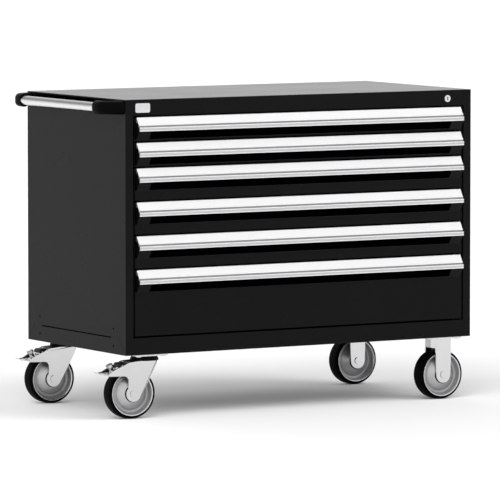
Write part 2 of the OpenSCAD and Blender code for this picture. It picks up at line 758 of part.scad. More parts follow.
// Sixteen low round-headed bolts with hexagon nuts through the caster plates, and four hexagon
// bolts through the handle's feet
module mounting_bolts() color("silver") in_frame() {
  stack = sheet + channel_wall;
  caster_bolt_places() {
    translate([0, 0, -plate_t - low_head_h]) cylinder(r = bolt_head_r, h = low_head_h);
    translate([0, 0, -plate_t - 1]) cylinder(r = bolt_r, h = plate_t + stack + bolt_head_h + 3);
    translate([0, 0, stack]) cylinder(r = bolt_head_r, h = bolt_head_h, $fn = 6);
  }
  handle_bolt_places() {
    rod_x(bolt_r, -handle_bolt_l, sheet + bolt_head_h + 2);
    translate([sheet, 0, 0]) rotate([0, 90, 0])
      cylinder(r = bolt_head_r, h = bolt_head_h, $fn = 6);
  }
}

// ---------------------------------------------------------------- nodes

union() {  // side_panels
  side_panel_left();
  side_panel_right();
}
union() {  // cross_panels
  back_panel();
  top_rail();
  bottom_rail();
}
top_panel();
union() {
  base_pan();
  base_channels();
}
slide_posts();
drawer_runners();
blank_badge();
lock_housing();
lock_plug();
lock_cam();
lock_bar();
handle_mount();
handle_tube();
for (i = [0:drawers - 1]) {
  drawer_box(i);
  drawer_front(i);
  drawer_pull(i);
  union() {
    drawer_members(i);
    lock_catch(i);
  }
  slide_carriage(i);
}
union() {  // caster_mounts
  swivel_plates();
  rigid_forks();
}
swivel_races();
swivel_fork(-1);  // swivel_fork_front
swivel_fork(1);  // swivel_fork_rear
swivel_axle(-1);  // swivel_axle_front
swivel_axle(1);  // swivel_axle_rear
brake_pedal(-1);  // brake_pedal_front
brake_pedal(1);  // brake_pedal_rear
tyre_left(-1);  // tyre_left_front
tyre_left(1);  // tyre_left_rear
tyre_right(-1);  // tyre_right_front
tyre_right(1);  // tyre_right_rear
hub_left(-1);  // hub_left_front
hub_left(1);  // hub_left_rear
hub_right(-1);  // hub_right_front
hub_right(1);  // hub_right_rear
union() {  // fixed_bolts
  mounting_bolts();
  rigid_axles();
}
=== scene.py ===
"""A mobile workbench with six drawers, finished for its pictures.

The file follows the cabinet as it is put together: the studio, the painted body, the lock and
the handle, the drawers with their pulls and slides, and last the casters it rolls on.
"""

import json
import math

import bmesh
import bpy
from mathutils import Matrix, Vector


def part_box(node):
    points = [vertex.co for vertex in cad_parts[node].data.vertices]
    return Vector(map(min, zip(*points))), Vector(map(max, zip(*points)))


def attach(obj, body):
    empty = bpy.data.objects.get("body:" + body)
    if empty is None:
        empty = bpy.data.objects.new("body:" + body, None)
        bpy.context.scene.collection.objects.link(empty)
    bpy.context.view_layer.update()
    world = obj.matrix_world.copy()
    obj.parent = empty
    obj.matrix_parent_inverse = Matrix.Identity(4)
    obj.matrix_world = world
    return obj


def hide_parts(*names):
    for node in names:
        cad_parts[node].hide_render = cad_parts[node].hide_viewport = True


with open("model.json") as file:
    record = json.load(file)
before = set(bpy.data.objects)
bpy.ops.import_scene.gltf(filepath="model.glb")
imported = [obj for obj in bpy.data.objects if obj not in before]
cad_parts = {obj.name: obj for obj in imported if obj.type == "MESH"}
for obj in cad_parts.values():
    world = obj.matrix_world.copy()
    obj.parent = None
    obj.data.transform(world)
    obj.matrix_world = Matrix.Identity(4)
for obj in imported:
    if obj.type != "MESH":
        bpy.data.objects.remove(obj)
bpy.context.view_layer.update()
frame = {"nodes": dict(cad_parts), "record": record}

# ------------------------------------------------------------------ studio
# A level white sweep with light from all around, as a catalogue studio has. The long lens
# looks slightly down on the drawers and the handle end.

top_low, top_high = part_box("top_panel")
body_centre = (Vector(top_low) + Vector(top_high)) / 2

camera = bpy.data.objects.new("camera", bpy.data.cameras.new("camera"))
bpy.context.collection.objects.link(camera)
bpy.context.scene.camera = camera
camera.data.sensor_width = 36
camera.data.lens = 393.26
camera.data.clip_end = 200
view_turn, view_rise, view_reach = math.radians(-30.727), math.radians(4.63), 16.782
aim_right, aim_below_top = 0.0007, 0.492
towards_camera = Vector((math.sin(view_turn) * math.cos(view_rise),
                         -math.cos(view_turn) * math.cos(view_rise), math.sin(view_rise)))
aim = Vector((body_centre.x + aim_right, body_centre.y, top_high[2] - aim_below_top))
camera.location = aim + towards_camera * view_reach
camera.rotation_mode = "QUATERNION"
camera.rotation_quaternion = (-towards_camera).to_track_quat("-Z", "Y")
bpy.context.scene.view_settings.view_transform = "Standard"


class Value:
    """One output in a finish's shader, which ordinary sums can be written with."""

    def __init__(self, finish, socket):
        self.finish, self.socket = finish, socket

    def sum(self, operation, first, second):
        return self.finish.node("Math", {"operation": operation}, {0: first, 1: second})

    def __add__(self, other):
        return self.sum("ADD", self, other)

    def __sub__(self, other):
        return self.sum("SUBTRACT", self, other)

    def __rsub__(self, other):
        return self.sum("SUBTRACT", other, self)

    def __mul__(self, other):
        return self.sum("MULTIPLY", self, other)

    def __pow__(self, other):
        return self.sum("POWER", self, other)

    __radd__, __rmul__ = __add__, __mul__


class Shading:
    """A node tree, grown one node at a time."""

    def __init__(self, tree):
        self.tree = tree

    def node(self, kind, settings={}, values={}, output=0):
        """A new node: its settings first, then the values or links of its sockets."""
        made = self.tree.nodes.new("ShaderNode" + kind)
        for key, value in settings.items():
            if key == "stops":
                ramp = made.color_ramp
                while len(ramp.elements) < len(value):
                    ramp.elements.new(0.5)
                for element, (position, colour) in zip(ramp.elements, value):
                    element.position, element.color = position, (*colour, 1)
            else:
                setattr(made, key, value)
        for key, value in values.items():
            self.join(made.inputs[key], value)
        return Value(self, made.outputs[output])

    def join(self, socket, value):
        """Links a value into a socket, or sets the socket to a plain number."""
        if isinstance(value, Value):
            self.tree.links.new(value.socket, socket)
        else:
            socket.default_value = value


class Finish(Shading):
    """A surface finish: constants go on the shader's sockets, and patterns are joined to them."""

    def __init__(self, name, **constants):
        self.material = bpy.data.materials.new(name)
        self.material.use_nodes = True
        super().__init__(self.material.node_tree)
        self.shader = self.tree.nodes["Principled BSDF"]
        names = {socket.name.lower().replace(" ", "_"): socket for socket in self.shader.inputs}
        for key, value in constants.items():
            names[key].default_value = (*value, 1) if isinstance(value, tuple) else value

    def drive(self, socket, value):
        """Joins a pattern or a number to one of the shader's sockets."""
        self.join(self.shader.inputs[socket], value)

    def noise(self, size, detail=2.0, stretch=(1, 1, 1)):
        """Soft noise from 0 to 1 in patches of about the given size, in metres."""
        placed = self.node("Mapping", {}, {"Vector": self.node("TexCoord", output="Object"),
                                           "Scale": [part / size for part in stretch]})
        return self.node("TexNoise", {}, {"Vector": placed, "Scale": 1.0, "Detail": detail}, "Fac")

    def between(self, amount, first, second):
        """A colour that goes from the first to the second as the amount goes from 0 to 1."""
        return self.node("Mix", {"data_type": "RGBA"},
                         {0: amount, 6: (*first, 1), 7: (*second, 1)}, 2)

    def relief(self, height, depth, strength=1.0):
        """Fine relief in the surface; depth is what a height of 1 stands for, in metres."""
        self.drive("Normal", self.node("Bump", {}, {"Strength": strength, "Distance": depth,
                                                    "Height": height}))


# The sweep is one very large pale sheet under the wheels.
sweep_paper = Finish("sweep_paper", roughness=0.9, specular_ior_level=0.0)
sweep_paper.drive("Base Color", sweep_paper.between(sweep_paper.noise(3.0), (0.935, 0.935, 0.935),
                                                    (0.94, 0.94, 0.94)))
sweep_half_width = 90
sheet = bmesh.new()
bmesh.ops.create_grid(sheet, x_segments=4, y_segments=4, size=sweep_half_width)
sweep_mesh = bpy.data.meshes.new("sweep")
sheet.to_mesh(sweep_mesh)
sheet.free()
sweep_mesh.materials.append(sweep_paper.material)
sweep = bpy.data.objects.new("sweep", sweep_mesh)
bpy.context.collection.objects.link(sweep)

# Light comes from a white surround: what is seen or mirrored of it is plain white. What it
# sheds is fuller from two large softboxes in front, left and right, and from two low ones at
# the left and behind, which reach under the cabinet.
surround = bpy.data.worlds.new("surround")
bpy.context.scene.world = surround
surround.use_nodes = True
glow = Shading(surround.node_tree)
plain = glow.node("LightPath", output="Is Camera Ray") + glow.node("LightPath",
                                                                   output="Is Glossy Ray")
plain = glow.node("Clamp", {}, {0: plain + glow.node("LightPath", output="Is Transmission Ray")})


def softbox(direction, tightness, strength):
    """Light shed from around a direction, less and less away from it."""
    facing = glow.node("VectorMath", {"operation": "DOT_PRODUCT"},
                       {0: glow.node("TexCoord", output="Generated"), 1: direction}, "Value")
    return glow.node("Math", {"operation": "MAXIMUM"}, {0: facing, 1: 0.0}) ** tightness * strength


large_box, low_box = 16.0, 8.0
front_left, front_right = (-0.542, -0.542, 0.643), (0.542, -0.542, 0.643)
low_behind, low_left = (0.0, 0.985, 0.174), (-0.963, 0.170, 0.208)
room_light = 0.33
shed = (softbox(front_left, large_box, 4.8) + softbox(front_right, large_box, 3.75)
        + softbox(low_behind, low_box, 3.1) + softbox(low_left, low_box, 2.05) + room_light)
glow.join(surround.node_tree.nodes["Background"].inputs["Strength"],
          plain + (1.0 - plain) * shed)
surround.node_tree.nodes["Background"].inputs["Color"].default_value = (1, 1, 1, 1)

# ------------------------------------------------------------------ painted body
# Folded and welded sheet steel, powder coated satin black: two sides with their front stiles,
# back, flat top, base pan and the two front rails. Folded corners keep a small outside radius.

record = frame["record"]
body_of = {node: body for body, nodes in record["behaviour"]["bodies"].items() for node in nodes}


def place(name, shape, finish, body, stands_for=(), weighted=True):
    """Turns a modelled shape into a finished piece that moves with its body."""
    mesh = bpy.data.meshes.new(name)
    shape.to_mesh(mesh)
    shape.free()
    mesh.shade_smooth()
    mesh.set_sharp_from_angle(angle=math.radians(40))
    mesh.materials.append(finish.material)
    piece = bpy.data.objects.new(name, mesh)
    bpy.context.collection.objects.link(piece)
    if weighted:
        piece.modifiers.new("even_shading", "WEIGHTED_NORMAL").keep_sharp = True
    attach(piece, body)
    if stands_for:
        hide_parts(*stands_for)
    return piece


def break_edges(shape, width, segments, sharper_than=25, longer_than=3.0):
    """Rounds the edges that a finger would feel; short ones, as round small holes, stay."""
    edges = [edge for edge in shape.edges
             if edge.is_manifold and edge.calc_length() > longer_than * width
             and edge.calc_face_angle() > math.radians(sharper_than)]
    bmesh.ops.bevel(shape, geom=edges, offset=width, offset_type="OFFSET", affect="EDGES",
                    segments=segments, profile=0.5, material=-1, clamp_overlap=False)


def merged_copy(node):
    """A copy of a piece's mesh with its doubles merged and its flat faces joined."""
    shape = bmesh.new()
    shape.from_mesh(frame["nodes"][node].data)
    bmesh.ops.remove_doubles(shape, verts=shape.verts, dist=2e-6)
    bmesh.ops.dissolve_limit(shape, angle_limit=math.radians(0.5), verts=shape.verts,
                             edges=shape.edges)
    return shape


def finished_copy(node, width, finish, segments=3, sharper_than=25):
    """The same piece with its edges broken, in place of the plain one."""
    shape = merged_copy(node)
    break_edges(shape, width, segments, sharper_than)
    return place(node + "_finished", shape, finish, body_of[node], (node,))


def powder_coat(name, shine, roughness):
    """Satin black powder coat, faintly cloudy and with a very fine orange peel."""
    coat = Finish(name, specular_ior_level=shine)
    cloudy = coat.noise(0.16, 3.0)
    coat.drive("Base Color", coat.between(cloudy, (0.0024, 0.0024, 0.0025),
                                          (0.0040, 0.0040, 0.0042)))
    coat.drive("Roughness", roughness + cloudy * 0.06)
    coat.relief(coat.noise(0.0011, 2.0) + coat.noise(0.004, 1.0), 0.0000035)
    return coat


powder_black = powder_coat("powder_black", 0.080, 0.24)
top_black = powder_coat("top_black", 0.132, 0.20)

for panel, radius, coat in (
        ("side_panels", 0.0009, powder_black), ("cross_panels", 0.0005, powder_black),
        ("top_panel", 0.0011, top_black), ("base_pan", 0.0006, powder_black)):
    finished_copy(panel, radius, coat)

# ------------------------------------------------------------------ holes and seams of the sides
# Each side has a long slit low down for a fork's strap, small fixing holes near its lower corners,
# and the mitred seams of its folded foot. The sheet is flat there: the slit and the holes are
# near-black marks of painted shade, and the seams are dark lines.

shadow_black = Finish("shadow_black", roughness=0.9, specular_ior_level=0.0)
shadow_black.drive("Base Color", shadow_black.between(shadow_black.noise(0.01),
                                                      (0.0004, 0.0004, 0.0004),
                                                      (0.0010, 0.0010, 0.0010)))
side_low, side_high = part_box("side_panels")
foot, front_edge, rear_edge = side_low[2], side_low[1], side_high[1]
slit_rise, slit_inset, slit_width, seam_width = 0.049, 0.090, 0.0036, 0.0009
hole_inset, hole_radius, mark_depth = 0.076, 0.0034, 0.0001


def dark_line(name, face, start, end, width):
    """A thin dark line on a side from start to end, each a (y, z) in metres."""
    strip = bmesh.new()
    bmesh.ops.create_cube(strip, size=1.0)
    run = Vector((0, end[0] - start[0], end[1] - start[1]))
    bmesh.ops.scale(strip, verts=strip.verts, vec=(mark_depth, run.length, width))
    bmesh.ops.rotate(strip, verts=strip.verts,
                     matrix=Matrix.Rotation(math.atan2(run.z, run.y), 3, "X"))
    bmesh.ops.translate(strip, verts=strip.verts,
                        vec=(face, (start[0] + end[0]) / 2, (start[1] + end[1]) / 2))
    place(name, strip, shadow_black, "cabinet")


for side, face in (("left", side_low[0]), ("right", side_high[0])):
    dark_line(f"{side}_slit", face, (front_edge + slit_inset, foot + slit_rise),
              (rear_edge - slit_inset, foot + slit_rise), slit_width)
    for corner, edge, inwards in (("front", front_edge, 1), ("rear", rear_edge, -1)):
        dark_line(f"{side}_{corner}_seam", face, (edge + inwards * 0.010, foot + 0.014),
                  (edge + inwards * 0.045, foot + 0.052), seam_width)
        for hole, rise in (("upper", 0.076), ("lower", 0.024)):
            dot = bmesh.new()
            bmesh.ops.create_cone(dot, cap_ends=True, segments=24, radius1=hole_radius,
                                  radius2=hole_radius, depth=mark_depth)
            bmesh.ops.rotate(dot, verts=dot.verts, matrix=Matrix.Rotation(math.pi / 2, 3, "Y"))
            bmesh.ops.translate(dot, verts=dot.verts,
                                vec=(face, edge + inwards * hole_inset, foot + rise))
            place(f"{side}_{corner}_{hole}_hole", dot, shadow_black, "cabinet")

# ------------------------------------------------------------------ badge plate
# A small satin aluminium plate riveted to the top rail at the left, left blank, with a raised
# rim round its edge.

satin_plate = Finish("satin_plate", metallic=1.0, roughness=0.38)
grain = satin_plate.noise(0.0012, 2.0, (0.05, 1, 1))
satin_plate.drive("Base Color", satin_plate.between(grain, (0.62, 0.62, 0.64),
                                                    (0.72, 0.72, 0.74)))
satin_plate.relief(grain, 0.00001)
finished_copy("blank_badge", 0.0003, satin_plate)

# ------------------------------------------------------------------ lock
# A chromed cylinder lock in the top rail at the right. Inside, its cam lifts a zinc-plated
# bar whose hooks hold every drawer.

polished_chrome = Finish("polished_chrome", metallic=1.0)
polish = polished_chrome.noise(0.02, 2.0)
polished_chrome.drive("Base Color", polished_chrome.between(polish, (0.64, 0.64, 0.65),
                                                            (0.70, 0.70, 0.71)))
polished_chrome.drive("Roughness", 0.07 + polish * 0.05)

passivated_zinc = Finish("passivated_zinc", metallic=1.0)
spangle = passivated_zinc.noise(0.006, 3.0)
passivated_zinc.drive("Base Color", passivated_zinc.between(spangle, (0.56, 0.57, 0.58),
                                                            (0.70, 0.70, 0.70)))
passivated_zinc.drive("Roughness", 0.30 + spangle * 0.14)
passivated_zinc.relief(passivated_zinc.noise(0.0016, 2.0), 0.00001)

finished_copy("lock_housing", 0.0008, polished_chrome, 3)
finished_copy("lock_plug", 0.0003, polished_chrome, 2)
finished_copy("lock_cam", 0.0003, passivated_zinc, 2)
finished_copy("lock_bar", 0.0003, passivated_zinc, 2)

# A near-black plate on the plug's face paints the shade in the key slot's mouth, a little wider
# than the slot behind it.
plug_low, plug_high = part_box("lock_plug")
slot_shade_width, slot_shade_depth, slot_shade_height = 0.0036, 0.0003, 0.0098
slot_shade = bmesh.new()
bmesh.ops.create_cube(slot_shade, size=1.0)
bmesh.ops.scale(slot_shade, verts=slot_shade.verts, vec=(slot_shade_width, slot_shade_depth, slot_shade_height))
bmesh.ops.translate(slot_shade, verts=slot_shade.verts,
                    vec=((plug_low[0] + plug_high[0]) / 2, plug_low[1],
                         (plug_low[2] + plug_high[2]) / 2))
place("key_slot_mouth", slot_shade, shadow_black, "lock_barrel")

# ------------------------------------------------------------------ push handle
# A chromed tube held by a black moulding that runs along the top of the left side and turns
# out into an elbow at each end.

moulded_black = Finish("moulded_black", specular_ior_level=0.02)
flow = moulded_black.noise(0.05, 2.0)
moulded_black.drive("Base Color", moulded_black.between(flow, (0.0014, 0.0014, 0.0015),
                                                        (0.0024, 0.0024, 0.0025)))
moulded_black.drive("Roughness", 0.36 + flow * 0.08)
moulded_black.relief(moulded_black.noise(0.0009, 2.0), 0.00001)
finished_copy("handle_mount", 0.0015, moulded_black, 3)

# The moulding's back strip lies deep behind the tube and takes hardly any light: a near-black sheet
# over it paints that shade.
mount_low, mount_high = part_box("handle_mount")
strip_thickness, strip_length, strip_height, strip_out = 0.0004, 0.478, 0.0405, 0.0041
strip = bmesh.new()
bmesh.ops.create_cube(strip, size=1.0)
bmesh.ops.scale(strip, verts=strip.verts, vec=(strip_thickness, strip_length, strip_height))
bmesh.ops.translate(strip, verts=strip.verts,
                    vec=(side_low[0] - strip_out, (mount_low[1] + mount_high[1]) / 2,
                         (mount_low[2] + mount_high[2]) / 2))
place("handle_strip_face", strip, shadow_black, "cabinet")

# The tube's base colour is painted reflection: light and dark bands by how far each face turns up
# or down, with faint brushing lines along the tube.
brushed_tube = Finish("brushed_tube", metallic=1.0)
facing = brushed_tube.node("SeparateXYZ", {}, {0: brushed_tube.node("TexCoord", output="Normal")},
                           "Z")
facing = facing * 0.5 + 0.5 + (brushed_tube.noise(0.004, 2.0, (1, 0.01, 1)) - 0.5) * 0.05
painted_reflection_bands = [(0.0, 0.40), (0.10, 0.62), (0.30, 0.80), (0.50, 0.70), (0.66, 0.34), (0.76, 0.17),
         (0.86, 0.26), (1.0, 0.50)]
brushed_tube.drive("Base Color", brushed_tube.node(
    "ValToRGB", {"stops": [(position, (grey, grey, grey)) for position, grey in painted_reflection_bands]},
    {0: facing}))
brushed_tube.drive("Roughness", 0.20 + brushed_tube.noise(0.0012, 2.0, (1, 0.02, 1)) * 0.08)
finished_copy("handle_tube", 0.0003, brushed_tube, 2)

# ------------------------------------------------------------------ drawer boxes and slides
# Welded steel trays on two-stage roller slides. The slides' channels, posts and members are
# zinc plated; each member carries steel rollers.

box_enamel = Finish("box_enamel", specular_ior_level=0.2)
mottle = box_enamel.noise(0.12, 3.0)
box_enamel.drive("Base Color", box_enamel.between(mottle, (0.016, 0.016, 0.0165),
                                                  (0.024, 0.024, 0.0245)))
box_enamel.drive("Roughness", 0.38 + mottle * 0.08)
box_enamel.relief(box_enamel.noise(0.0011, 2.0), 0.00003)

drawers = range(1, 7)
body_front = top_low[1]
for number in drawers:
    finished_copy(f"drawer_box_{number}", 0.0004, box_enamel, 2)
    for slide_part in ("slide_carriage", "drawer_members"):
        finished_copy(f"{slide_part}_{number}", 0.0004, passivated_zinc, 2)
for fixed_part in ("slide_posts", "drawer_runners"):
    finished_copy(fixed_part, 0.0004, passivated_zinc, 2)

# ------------------------------------------------------------------ drawer fronts
# Hollow folded fronts in the body's black. Under each pull the sheet slants back, and a long
# opening in it lets the fingers in.

# A near-black sheet behind each opening paints the shade inside the hollow front.
pocket_shade_width, pocket_shade_depth, pocket_shade_height = 1.09, 0.0008, 0.050
pocket_shade_behind_body, pocket_shade_below_top = 0.0155, 0.042
for number in drawers:
    finished_copy(f"drawer_front_{number}", 0.0005, powder_black, 2)
    low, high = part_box(f"drawer_front_{number}")
    pocket_shade = bmesh.new()
    bmesh.ops.create_cube(pocket_shade, size=1.0)
    bmesh.ops.scale(pocket_shade, verts=pocket_shade.verts,
                    vec=(pocket_shade_width, pocket_shade_depth, pocket_shade_height))
    bmesh.ops.translate(pocket_shade, verts=pocket_shade.verts,
                        vec=((low[0] + high[0]) / 2, body_front + pocket_shade_behind_body,
                             high[2] - pocket_shade_below_top))
    place(f"pocket_lining_{number}", pocket_shade, shadow_black, f"drawer_{number}")

# ------------------------------------------------------------------ pulls and labels
# An extruded, bright-anodised aluminium rail across each front. Its slanted face holds a long
# white label card between two lips, and its nose curls under for the fingers.

drawn_aluminium = Finish("drawn_aluminium", metallic=1.0)
die_lines = drawn_aluminium.noise(0.0009, 2.0, (0.004, 1, 1))
drawn_aluminium.drive("Base Color", drawn_aluminium.between(die_lines, (0.86, 0.86, 0.87),
                                                            (0.95, 0.95, 0.95)))
drawn_aluminium.drive("Roughness", 0.22 + die_lines * 0.10)
drawn_aluminium.relief(die_lines, 0.000012)

label_card = Finish("label_card", roughness=0.5, specular_ior_level=0.3)
fibre = label_card.noise(0.0018, 3.0)
label_card.drive("Base Color", label_card.between(fibre, (0.72, 0.72, 0.72), (0.75, 0.75, 0.75)))

# A darker satin band along the lip's front face.
grip_satin = Finish("grip_satin", metallic=1.0)
fine_lines = grip_satin.noise(0.0012, 2.0, (0.004, 1, 1))
grip_satin.drive("Base Color", grip_satin.between(fine_lines, (0.48, 0.48, 0.49),
                                                  (0.62, 0.62, 0.62)))
grip_satin.drive("Roughness", 0.3 + fine_lines * 0.1)

# A grey strip in the groove between the label face and the lip paints the shade in that groove.
groove_seal = Finish("groove_seal", roughness=0.6)
groove_seal.drive("Base Color", groove_seal.between(groove_seal.noise(0.02), (0.24, 0.24, 0.24),
                                                    (0.29, 0.29, 0.29)))


def cut_plate(outline, near, far):
    """A solid with a flat outline in x and z that runs from near to far along Y."""
    shape = bmesh.new()
    face = shape.faces.new([shape.verts.new((across, near, height))
                            for across, height in outline])
    grown = bmesh.ops.extrude_face_region(shape, geom=[face])["geom"]
    bmesh.ops.translate(shape, vec=(0, far - near, 0),
                        verts=[part for part in grown if isinstance(part, bmesh.types.BMVert)])
    bmesh.ops.recalc_face_normals(shape, faces=shape.faces)
    return shape


label_slope, label_rise, label_top = 0.525, 0.851, 1.5


def on_label_face(along, out):
    """A point of the slanted face in millimetres: along it from its top, and out of it."""
    return (label_top + label_slope * along + label_rise * out,
            -label_rise * along + label_slope * out)


pull_section = [(-2.0, 0.0), on_label_face(0, 0), on_label_face(1.6, 0), on_label_face(1.6, -1.2),
                on_label_face(24.6, -1.2), on_label_face(24.6, 0), on_label_face(26.6, 0),
                (15.5, -24.2), (13.0, -24.7), (13.0, -28.0), (18.5, -28.5), (20.3, -29.2),
                (20.8, -30.2), (20.8, -31.6), (20.2, -32.0), (20.2, -38.0), (20.8, -38.4),
                (20.8, -39.4), (20.1, -40.8), (18.7, -41.6), (16.4, -42.0), (15.2, -41.4),
                (15.0, -40.0), (15.0, -30.5), (11.8, -28.5), (11.8, -20.9), (0.0, -1.8),
                (0.0, -16.0), (-2.0, -16.0)]
label_section = [on_label_face(1.62, -1.18), on_label_face(1.62, -0.5),
                 on_label_face(24.58, -0.5), on_label_face(24.58, -1.18)]
grip_section = [(20.22, -32.2), (20.6, -32.2), (20.6, -37.8), (20.22, -37.8)]
groove_section = [(13.02, -24.8), (14.4, -24.8), (14.4, -27.9), (13.02, -27.9)]
for number in drawers:
    low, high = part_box(f"drawer_pull_{number}")
    for name, section, inset, width, finish, stands_for in (
            ("pull_rail", pull_section, 0.0, 0.00020, drawn_aluminium, (f"drawer_pull_{number}",)),
            ("label_card", label_section, 0.0030, 0.0001, label_card, ()),
            ("grip_band", grip_section, 0.0002, 0.0001, grip_satin, ()),
            ("pull_groove", groove_section, 0.0001, 0.0001, groove_seal, ())):
        bar = cut_plate([(reach / 1000, height / 1000) for reach, height in section],
                        low[0] + inset, high[0] - inset)
        bmesh.ops.rotate(bar, verts=bar.verts, matrix=Matrix.Rotation(-math.pi / 2, 3, "Z"))
        bmesh.ops.translate(bar, verts=bar.verts, vec=(0, body_front, high[2]))
        break_edges(bar, width, 2)
        place(f"{name}_{number}", bar, finish, f"drawer_{number}", stands_for)

# ------------------------------------------------------------------ wheels
# Rubber tyres on dished metal hubs. The hub has a machined bright rim, a deep dished web in grey
# enamel painted darker than the boss for the shade in the dish, and a conical boss that nearly
# fills the fork. A thin black ring on each face paints the shade round the fork's foot.

moulded_rubber = Finish("moulded_rubber", specular_ior_level=0.012)
bloom = moulded_rubber.noise(0.03, 3.0)
moulded_rubber.drive("Base Color", moulded_rubber.between(bloom, (0.0012, 0.0012, 0.0012),
                                                          (0.0022, 0.0022, 0.0022)))
moulded_rubber.drive("Roughness", 0.42 + bloom * 0.12)
moulded_rubber.relief(moulded_rubber.noise(0.0008, 2.0), 0.00002)



def metallic_enamel(name, grey):
    """Grey enamel with a faint metallic sheen over a cast surface."""
    enamel = Finish(name, metallic=0.8, specular_ior_level=0.3)
    cast_texture = enamel.noise(0.01, 2.0)
    enamel.drive("Base Color", enamel.between(cast_texture, (grey, grey, grey + 0.005),
                                              (grey + 0.05, grey + 0.05, grey + 0.055)))
    enamel.drive("Roughness", 0.34 + cast_texture * 0.08)
    enamel.relief(enamel.noise(0.0015, 2.0), 0.000008)
    return enamel


# The web is enamelled darker than the boss: painted shade in the deep dish.
boss_enamel = metallic_enamel("boss_enamel", 0.47)
web_enamel = metallic_enamel("web_enamel", 0.33)

turned_rim = Finish("turned_rim", metallic=1.0)
tool_marks = turned_rim.noise(0.004, 2.0)
turned_rim.drive("Base Color", turned_rim.between(tool_marks, (0.60, 0.60, 0.61),
                                                  (0.66, 0.66, 0.665)))
turned_rim.drive("Roughness", 0.22 + tool_marks * 0.1)

millimetre = Matrix.Diagonal((0.001, 0.001, 0.001, 1))


def turned(profile, steps=128):
    """A closed ring turned about the Y axis from a profile of radius and place along Y, in mm."""
    shape = bmesh.new()
    ring = [shape.verts.new((radius, along, 0)) for radius, along in profile]
    edges = [shape.edges.new((ring[i], ring[(i + 1) % len(ring)])) for i in range(len(ring))]
    bmesh.ops.spin(shape, geom=ring + edges, cent=(0, 0, 0), axis=(0, 1, 0), dvec=(0, 0, 0),
                   angle=2 * math.pi, steps=steps, use_merge=True, use_duplicate=False)
    bmesh.ops.remove_doubles(shape, verts=shape.verts, dist=1e-4)
    bmesh.ops.recalc_face_normals(shape, faces=shape.faces)
    return shape


def mirrored(half):
    """A whole profile from the half on one side of the wheel's middle."""
    return half + [(radius, -along) for radius, along in reversed(half)]


tyre_profile = mirrored([(67.2, 23.8), (67.9, 24.7), (69.4, 25.0), (71.2, 24.6), (73.2, 23.0),
                         (74.6, 20.6), (75.6, 17.4), (76.1, 12.0), (76.2, 4.0)])
web_profile = mirrored([(67.2, 23.0), (66.9, 24.4), (65.8, 25.0), (64.6, 24.6), (63.6, 22.8),
                        (62.4, 18.4), (61.0, 13.6), (59.0, 9.4), (56.4, 6.8), (53.4, 6.0),
                        (50.4, 6.6), (47.4, 8.4), (45.0, 7.0)])
boss_profile = mirrored([(46.9, 5.0), (46.9, 8.6), (46.0, 9.4), (40.6, 13.0), (34.4, 17.6),
                         (29.0, 22.0), (25.4, 24.6), (22.0, 25.6), (17.4, 25.9), (16.6, 26.5),
                         (8.0, 26.5), (6.1, 25.9)])

rim_profile = [(67.15, 24.0), (66.9, 24.9), (65.8, 25.5), (64.5, 25.1), (63.5, 23.6), (64.4, 23.0),
               (66.2, 22.6)]

joints = {joint["name"]: joint for joint in record["behaviour"]["joints"]}


def at_axle(joint):
    """Where a wheel's own Y axis lies: on its axle, turned as its caster stands."""
    axis = Vector(joints[joint]["axis"])
    return (Matrix.Translation(joints[joint]["pos_m"])
            @ Matrix.Rotation(math.atan2(-axis.x, axis.y), 4, "Z") @ millimetre)


bolt_clear = 9.0
for wheel in ("left_front", "left_rear", "right_front", "right_rear"):
    where = at_axle(f"wheel_{wheel}_spin")
    for part, profile, finish, slot, stands_for in (
            ("tyre", tyre_profile, moulded_rubber, "tyre_rubber", (f"tyre_{wheel}",)),
            ("hub_web", web_profile, web_enamel, "hub_grey", (f"hub_{wheel}",)),
            ("hub_boss", boss_profile, boss_enamel, "hub_grey", (f"hub_{wheel}",))):
        ring = turned(profile)
        bmesh.ops.transform(ring, matrix=where, verts=ring.verts)
        place(f"{part}_{wheel}_turned", ring, finish, f"wheel_{wheel}", stands_for,
              weighted=False)
    for face, sign in (("front", -1), ("rear", 1)):
        ring = turned([(radius, sign * along) for radius, along in rim_profile])
        bmesh.ops.transform(ring, matrix=where, verts=ring.verts)
        place(f"hub_rim_{wheel}_{face}", ring, turned_rim, f"wheel_{wheel}",
              weighted=False)
        # A thin black ring on each face of the boss paints the shade round the fork's foot.
        edge = 25.8 if wheel.startswith("left") else 27.2
        ring = turned([(bolt_clear, sign * 26.6), (edge, sign * 26.6),
                       (edge + 0.4, sign * 26.9), (edge, sign * 27.3),
                       (bolt_clear, sign * 27.3)])
        bmesh.ops.transform(ring, matrix=where, verts=ring.verts)
        place(f"hub_seal_{wheel}_{face}", ring, moulded_rubber, f"wheel_{wheel}",
              weighted=False)

# ------------------------------------------------------------------ caster forks and bolts
# Pressed steel forks and plates, bright zinc plated. The swivel ones turn under a black race,
# and every plate is bolted through the base.

bright_zinc = Finish("bright_zinc", metallic=1.0)
frost = bright_zinc.noise(0.012, 3.0)
bright_zinc.drive("Base Color", bright_zinc.between(frost, (0.63, 0.63, 0.635),
                                                    (0.67, 0.67, 0.675)))
bright_zinc.drive("Roughness", 0.03 + frost * 0.04)

black_oxide = Finish("black_oxide", roughness=0.42, specular_ior_level=0.03)
black_oxide.drive("Base Color", black_oxide.between(black_oxide.noise(0.008), (0.002, 0.002, 0.002),
                                                    (0.005, 0.005, 0.0052)))

for fork in ("swivel_fork_front", "swivel_fork_rear", "caster_mounts"):
    finished_copy(fork, 0.0008, bright_zinc, 3)
finished_copy("swivel_races", 0.0012, black_oxide, 3)
for axle in ("swivel_axle_front", "swivel_axle_rear"):
    finished_copy(axle, 0.0014, bright_zinc, 4)

